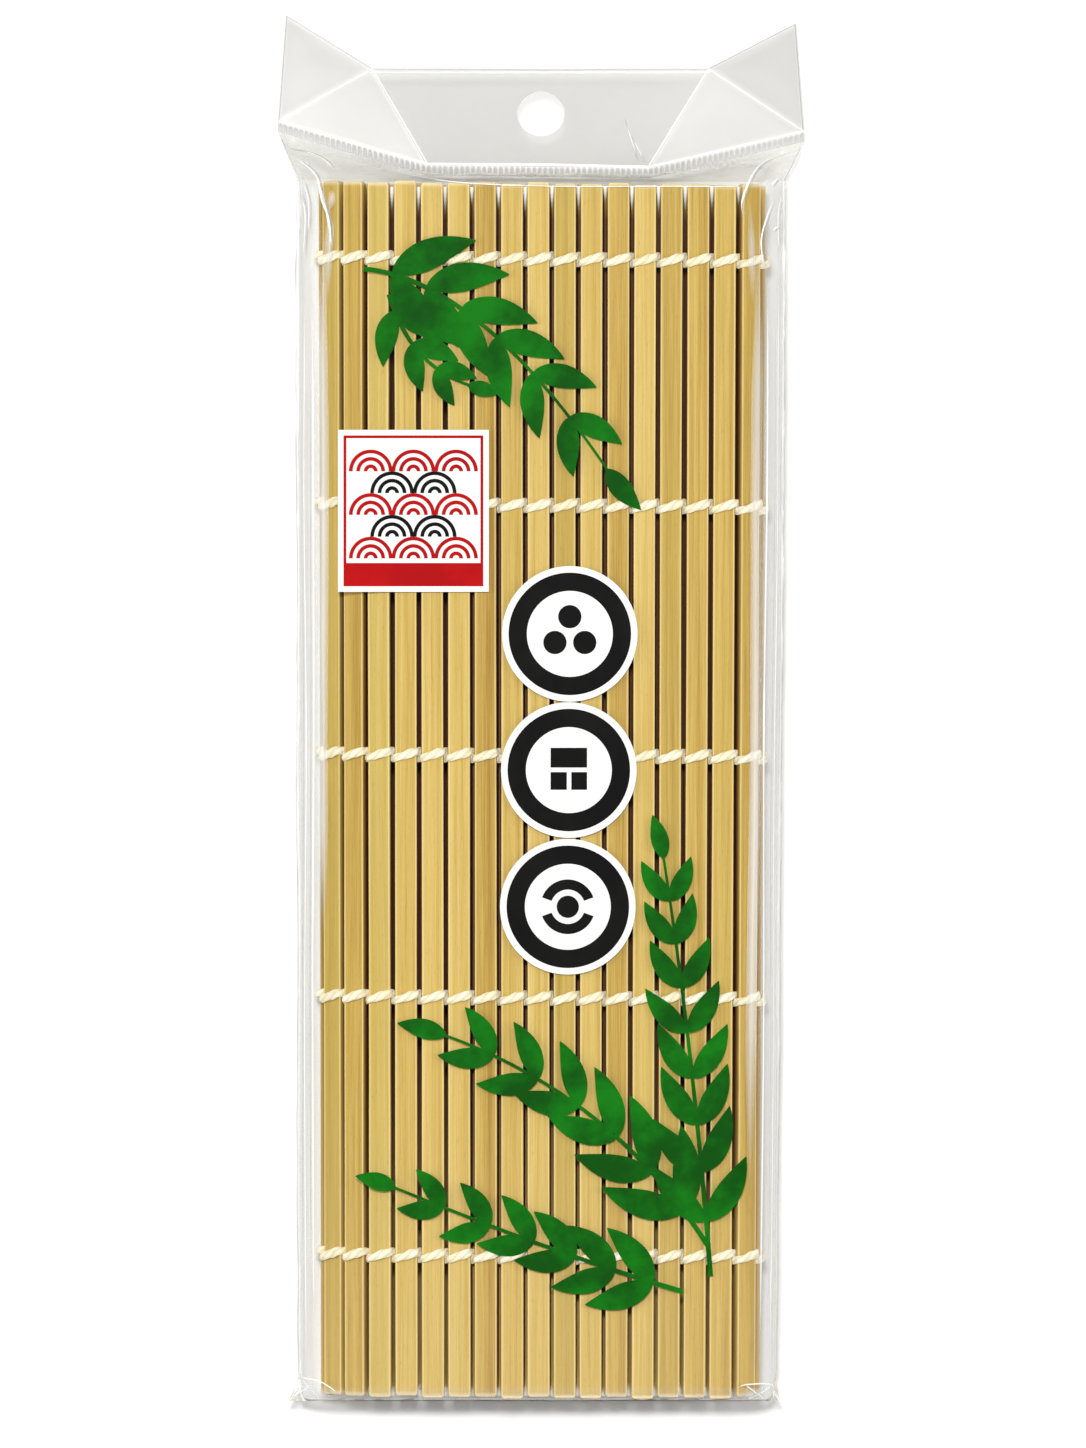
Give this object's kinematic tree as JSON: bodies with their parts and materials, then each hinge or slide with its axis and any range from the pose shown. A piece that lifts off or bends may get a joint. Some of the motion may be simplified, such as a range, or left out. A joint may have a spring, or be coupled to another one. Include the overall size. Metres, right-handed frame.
{
  "type": "sushi rolling mat",
  "caption": "Rolling mat of flat bamboo slats tied by rows of twined cotton cord, folded flat inside a clear film pouch with a ribbed seal and a folded hanging header.",
  "frame": {"origin": "outside of the flat back film, below the middle of the mat", "axes": "+X to the right across the slats, +Y along the slats towards the header, +Z out of the front face"},
  "size_m": [0.1046, 0.2745, 0.019],
  "materials": {
    "bamboo": "natural split bamboo, satin, fine lengthwise fibres",
    "cord": "twisted cotton, natural cream",
    "clear_film": "clear glossy packing film",
    "header_film": "folded double film, milky and glossy"
  },
  "bodies": {
    "pouch": {"pouch_front": "clear_film", "pouch_back": "clear_film", "side_seam_left": "clear_film", "side_seam_right": "clear_film", "bottom_fold": "clear_film", "pouch_shoulder": "clear_film"},
    "header": {"header": "header_film", "seal_band": "header_film"},
    "mat_cords": {"cord_row_1": "cord", "cord_row_2": "cord", "cord_row_3": "cord", "cord_row_4": "cord", "cord_row_5": "cord"},
    "slat_01": {"slat_01": "bamboo"},
    "slat_02": {"slat_02": "bamboo"},
    "slat_03": {"slat_03": "bamboo"},
    "slat_04": {"slat_04": "bamboo"},
    "slat_05": {"slat_05": "bamboo"},
    "slat_06": {"slat_06": "bamboo"},
    "slat_07": {"slat_07": "bamboo"},
    "slat_08": {"slat_08": "bamboo"},
    "slat_09": {"slat_09": "bamboo"},
    "slat_10": {"slat_10": "bamboo"},
    "slat_11": {"slat_11": "bamboo"},
    "slat_12": {"slat_12": "bamboo"},
    "slat_13": {"slat_13": "bamboo"},
    "slat_14": {"slat_14": "bamboo"},
    "slat_15": {"slat_15": "bamboo"},
    "slat_16": {"slat_16": "bamboo"},
    "slat_17": {"slat_17": "bamboo"},
    "slat_18": {"slat_18": "bamboo"},
    "slat_19": {"slat_19": "bamboo"},
    "slat_20": {"slat_20": "bamboo"},
    "slat_21": {"slat_21": "bamboo"},
    "slat_22": {"slat_22": "bamboo"},
    "slat_23": {"slat_23": "bamboo"},
    "slat_24": {"slat_24": "bamboo"},
    "slat_25": {"slat_25": "bamboo"},
    "slat_26": {"slat_26": "bamboo"},
    "slat_27": {"slat_27": "bamboo"},
    "slat_28": {"slat_28": "bamboo"},
    "slat_29": {"slat_29": "bamboo"},
    "slat_30": {"slat_30": "bamboo"},
    "slat_31": {"slat_31": "bamboo"},
    "slat_32": {"slat_32": "bamboo"},
    "slat_33": {"slat_33": "bamboo"},
    "slat_34": {"slat_34": "bamboo"},
    "slat_35": {"slat_35": "bamboo"},
    "slat_36": {"slat_36": "bamboo"},
    "slat_37": {"slat_37": "bamboo"},
    "slat_38": {"slat_38": "bamboo"},
    "slat_39": {"slat_39": "bamboo"},
    "slat_40": {"slat_40": "bamboo"},
    "slat_41": {"slat_41": "bamboo"},
    "slat_42": {"slat_42": "bamboo"},
    "slat_43": {"slat_43": "bamboo"},
    "slat_44": {"slat_44": "bamboo"},
    "slat_45": {"slat_45": "bamboo"}
  },
  "joints": [
    {"name": "header_fold", "type": "hinge", "parent": "pouch", "child": "header", "pos_m": [0, 0.1211, 0.00949], "axis": [1, 0, 0], "range_deg": [-12, 60], "deforming": ["pouch_shoulder"]},
    {"name": "mat_shift", "type": "slide", "parent": "pouch", "child": "mat_cords", "axis": [1, 0, 0], "range_m": [-0.0012, 0.0012]},
    {"name": "rock_01", "type": "hinge", "parent": "mat_cords", "child": "slat_01", "pos_m": [0.03444, 0, 0.00212], "axis": [0, 1, 0], "range_deg": [-4, 4], "deforming": ["cord_row_1", "cord_row_2", "cord_row_3", "cord_row_4", "cord_row_5"]},
    {"name": "rock_02", "type": "hinge", "parent": "mat_cords", "child": "slat_02", "pos_m": [0.02917, 0, 0.00212], "axis": [0, 1, 0], "range_deg": [-4, 4]},
    {"name": "rock_03", "type": "hinge", "parent": "mat_cords", "child": "slat_03", "pos_m": [0.0239, 0, 0.00212], "axis": [0, 1, 0], "range_deg": [-4, 4]},
    {"name": "rock_04", "type": "hinge", "parent": "mat_cords", "child": "slat_04", "pos_m": [0.01863, 0, 0.00212], "axis": [0, 1, 0], "range_deg": [-4, 4]},
    {"name": "rock_05", "type": "hinge", "parent": "mat_cords", "child": "slat_05", "pos_m": [0.01336, 0, 0.00212], "axis": [0, 1, 0], "range_deg": [-4, 4]},
    {"name": "rock_06", "type": "hinge", "parent": "mat_cords", "child": "slat_06", "pos_m": [0.00809, 0, 0.00212], "axis": [0, 1, 0], "range_deg": [-4, 4]},
    {"name": "rock_07", "type": "hinge", "parent": "mat_cords", "child": "slat_07", "pos_m": [0.00282, 0, 0.00212], "axis": [0, 1, 0], "range_deg": [-4, 4]},
    {"name": "rock_08", "type": "hinge", "parent": "mat_cords", "child": "slat_08", "pos_m": [-0.00245, 0, 0.00212], "axis": [0, 1, 0], "range_deg": [-4, 4]},
    {"name": "rock_09", "type": "hinge", "parent": "mat_cords", "child": "slat_09", "pos_m": [-0.00772, 0, 0.00212], "axis": [0, 1, 0], "range_deg": [-4, 4]},
    {"name": "rock_10", "type": "hinge", "parent": "mat_cords", "child": "slat_10", "pos_m": [-0.01299, 0, 0.00212], "axis": [0, 1, 0], "range_deg": [-4, 4]},
    {"name": "rock_11", "type": "hinge", "parent": "mat_cords", "child": "slat_11", "pos_m": [-0.01826, 0, 0.00212], "axis": [0, 1, 0], "range_deg": [-4, 4]},
    {"name": "rock_12", "type": "hinge", "parent": "mat_cords", "child": "slat_12", "pos_m": [-0.02353, 0, 0.00212], "axis": [0, 1, 0], "range_deg": [-4, 4]},
    {"name": "rock_13", "type": "hinge", "parent": "mat_cords", "child": "slat_13", "pos_m": [-0.0288, 0, 0.00212], "axis": [0, 1, 0], "range_deg": [-4, 4]},
    {"name": "rock_14", "type": "hinge", "parent": "mat_cords", "child": "slat_14", "pos_m": [-0.03407, 0, 0.00212], "axis": [0, 1, 0], "range_deg": [-4, 4]},
    {"name": "rock_15", "type": "hinge", "parent": "mat_cords", "child": "slat_15", "pos_m": [-0.03921, 0, 0.00293], "axis": [0, 1, 0], "range_deg": [-4, 4]},
    {"name": "rock_16", "type": "hinge", "parent": "mat_cords", "child": "slat_16", "pos_m": [-0.04267, 0, 0.00659], "axis": [0, 1, 0], "range_deg": [-4, 4]},
    {"name": "rock_17", "type": "hinge", "parent": "mat_cords", "child": "slat_17", "pos_m": [-0.04118, 0, 0.01134], "axis": [0, 1, 0], "range_deg": [-4, 4]},
    {"name": "rock_18", "type": "hinge", "parent": "mat_cords", "child": "slat_18", "pos_m": [-0.03687, 0, 0.01435], "axis": [0, 1, 0], "range_deg": [-4, 4]},
    {"name": "rock_19", "type": "hinge", "parent": "mat_cords", "child": "slat_19", "pos_m": [-0.03202, 0, 0.01626], "axis": [0, 1, 0], "range_deg": [-4, 4]},
    {"name": "rock_20", "type": "hinge", "parent": "mat_cords", "child": "slat_20", "pos_m": [-0.02682, 0, 0.01685], "axis": [0, 1, 0], "range_deg": [-4, 4]},
    {"name": "rock_21", "type": "hinge", "parent": "mat_cords", "child": "slat_21", "pos_m": [-0.02155, 0, 0.01685], "axis": [0, 1, 0], "range_deg": [-4, 4]},
    {"name": "rock_22", "type": "hinge", "parent": "mat_cords", "child": "slat_22", "pos_m": [-0.01628, 0, 0.01685], "axis": [0, 1, 0], "range_deg": [-4, 4]},
    {"name": "rock_23", "type": "hinge", "parent": "mat_cords", "child": "slat_23", "pos_m": [-0.01101, 0, 0.01685], "axis": [0, 1, 0], "range_deg": [-4, 4]},
    {"name": "rock_24", "type": "hinge", "parent": "mat_cords", "child": "slat_24", "pos_m": [-0.00574, 0, 0.01685], "axis": [0, 1, 0], "range_deg": [-4, 4]},
    {"name": "rock_25", "type": "hinge", "parent": "mat_cords", "child": "slat_25", "pos_m": [-0.00047, 0, 0.01685], "axis": [0, 1, 0], "range_deg": [-4, 4]},
    {"name": "rock_26", "type": "hinge", "parent": "mat_cords", "child": "slat_26", "pos_m": [0.0048, 0, 0.01685], "axis": [0, 1, 0], "range_deg": [-4, 4]},
    {"name": "rock_27", "type": "hinge", "parent": "mat_cords", "child": "slat_27", "pos_m": [0.01007, 0, 0.01685], "axis": [0, 1, 0], "range_deg": [-4, 4]},
    {"name": "rock_28", "type": "hinge", "parent": "mat_cords", "child": "slat_28", "pos_m": [0.01534, 0, 0.01685], "axis": [0, 1, 0], "range_deg": [-4, 4]},
    {"name": "rock_29", "type": "hinge", "parent": "mat_cords", "child": "slat_29", "pos_m": [0.02061, 0, 0.01685], "axis": [0, 1, 0], "range_deg": [-4, 4]},
    {"name": "rock_30", "type": "hinge", "parent": "mat_cords", "child": "slat_30", "pos_m": [0.02588, 0, 0.01685], "axis": [0, 1, 0], "range_deg": [-4, 4]},
    {"name": "rock_31", "type": "hinge", "parent": "mat_cords", "child": "slat_31", "pos_m": [0.03115, 0, 0.01685], "axis": [0, 1, 0], "range_deg": [-4, 4]},
    {"name": "rock_32", "type": "hinge", "parent": "mat_cords", "child": "slat_32", "pos_m": [0.03642, 0, 0.01685], "axis": [0, 1, 0], "range_deg": [-4, 4]},
    {"name": "rock_33", "type": "hinge", "parent": "mat_cords", "child": "slat_33", "pos_m": [0.04125, 0, 0.01537], "axis": [0, 1, 0], "range_deg": [-4, 4]},
    {"name": "rock_34", "type": "hinge", "parent": "mat_cords", "child": "slat_34", "pos_m": [0.04354, 0, 0.01089], "axis": [0, 1, 0], "range_deg": [-4, 4]},
    {"name": "rock_35", "type": "hinge", "parent": "mat_cords", "child": "slat_35", "pos_m": [0.04056, 0, 0.00695], "axis": [0, 1, 0], "range_deg": [-4, 4]},
    {"name": "rock_36", "type": "hinge", "parent": "mat_cords", "child": "slat_36", "pos_m": [0.03545, 0, 0.00648], "axis": [0, 1, 0], "range_deg": [-4, 4]},
    {"name": "rock_37", "type": "hinge", "parent": "mat_cords", "child": "slat_37", "pos_m": [0.03022, 0, 0.00717], "axis": [0, 1, 0], "range_deg": [-4, 4]},
    {"name": "rock_38", "type": "hinge", "parent": "mat_cords", "child": "slat_38", "pos_m": [0.025, 0, 0.00785], "axis": [0, 1, 0], "range_deg": [-4, 4]},
    {"name": "rock_39", "type": "hinge", "parent": "mat_cords", "child": "slat_39", "pos_m": [0.01977, 0, 0.00854], "axis": [0, 1, 0], "range_deg": [-4, 4]},
    {"name": "rock_40", "type": "hinge", "parent": "mat_cords", "child": "slat_40", "pos_m": [0.01455, 0, 0.00923], "axis": [0, 1, 0], "range_deg": [-4, 4]},
    {"name": "rock_41", "type": "hinge", "parent": "mat_cords", "child": "slat_41", "pos_m": [0.00932, 0, 0.00992], "axis": [0, 1, 0], "range_deg": [-4, 4]},
    {"name": "rock_42", "type": "hinge", "parent": "mat_cords", "child": "slat_42", "pos_m": [0.0041, 0, 0.0106], "axis": [0, 1, 0], "range_deg": [-4, 4]},
    {"name": "rock_43", "type": "hinge", "parent": "mat_cords", "child": "slat_43", "pos_m": [-0.00113, 0, 0.01129], "axis": [0, 1, 0], "range_deg": [-4, 4]},
    {"name": "rock_44", "type": "hinge", "parent": "mat_cords", "child": "slat_44", "pos_m": [-0.00635, 0, 0.01198], "axis": [0, 1, 0], "range_deg": [-4, 4]},
    {"name": "rock_45", "type": "hinge", "parent": "mat_cords", "child": "slat_45", "pos_m": [-0.01158, 0, 0.01267], "axis": [0, 1, 0], "range_deg": [-4, 4]}
  ],
  "couplings": [
    {"joint": "rock_02", "follows": "rock_01", "ratio": 1},
    {"joint": "rock_03", "follows": "rock_01", "ratio": 1},
    {"joint": "rock_04", "follows": "rock_01", "ratio": 1},
    {"joint": "rock_05", "follows": "rock_01", "ratio": 1},
    {"joint": "rock_06", "follows": "rock_01", "ratio": 1},
    {"joint": "rock_07", "follows": "rock_01", "ratio": 1},
    {"joint": "rock_08", "follows": "rock_01", "ratio": 1},
    {"joint": "rock_09", "follows": "rock_01", "ratio": 1},
    {"joint": "rock_10", "follows": "rock_01", "ratio": 1},
    {"joint": "rock_11", "follows": "rock_01", "ratio": 1},
    {"joint": "rock_12", "follows": "rock_01", "ratio": 1},
    {"joint": "rock_13", "follows": "rock_01", "ratio": 1},
    {"joint": "rock_14", "follows": "rock_01", "ratio": 1},
    {"joint": "rock_15", "follows": "rock_01", "ratio": 1},
    {"joint": "rock_16", "follows": "rock_01", "ratio": 1},
    {"joint": "rock_17", "follows": "rock_01", "ratio": 1},
    {"joint": "rock_18", "follows": "rock_01", "ratio": 1},
    {"joint": "rock_19", "follows": "rock_01", "ratio": 1},
    {"joint": "rock_20", "follows": "rock_01", "ratio": 1},
    {"joint": "rock_21", "follows": "rock_01", "ratio": 1},
    {"joint": "rock_22", "follows": "rock_01", "ratio": 1},
    {"joint": "rock_23", "follows": "rock_01", "ratio": 1},
    {"joint": "rock_24", "follows": "rock_01", "ratio": 1},
    {"joint": "rock_25", "follows": "rock_01", "ratio": 1},
    {"joint": "rock_26", "follows": "rock_01", "ratio": 1},
    {"joint": "rock_27", "follows": "rock_01", "ratio": 1},
    {"joint": "rock_28", "follows": "rock_01", "ratio": 1},
    {"joint": "rock_29", "follows": "rock_01", "ratio": 1},
    {"joint": "rock_30", "follows": "rock_01", "ratio": 1},
    {"joint": "rock_31", "follows": "rock_01", "ratio": 1},
    {"joint": "rock_32", "follows": "rock_01", "ratio": 1},
    {"joint": "rock_33", "follows": "rock_01", "ratio": 1},
    {"joint": "rock_34", "follows": "rock_01", "ratio": 1},
    {"joint": "rock_35", "follows": "rock_01", "ratio": 1},
    {"joint": "rock_36", "follows": "rock_01", "ratio": 1},
    {"joint": "rock_37", "follows": "rock_01", "ratio": 1},
    {"joint": "rock_38", "follows": "rock_01", "ratio": 1},
    {"joint": "rock_39", "follows": "rock_01", "ratio": 1},
    {"joint": "rock_40", "follows": "rock_01", "ratio": 1},
    {"joint": "rock_41", "follows": "rock_01", "ratio": 1},
    {"joint": "rock_42", "follows": "rock_01", "ratio": 1},
    {"joint": "rock_43", "follows": "rock_01", "ratio": 1},
    {"joint": "rock_44", "follows": "rock_01", "ratio": 1},
    {"joint": "rock_45", "follows": "rock_01", "ratio": 1}
  ]
}
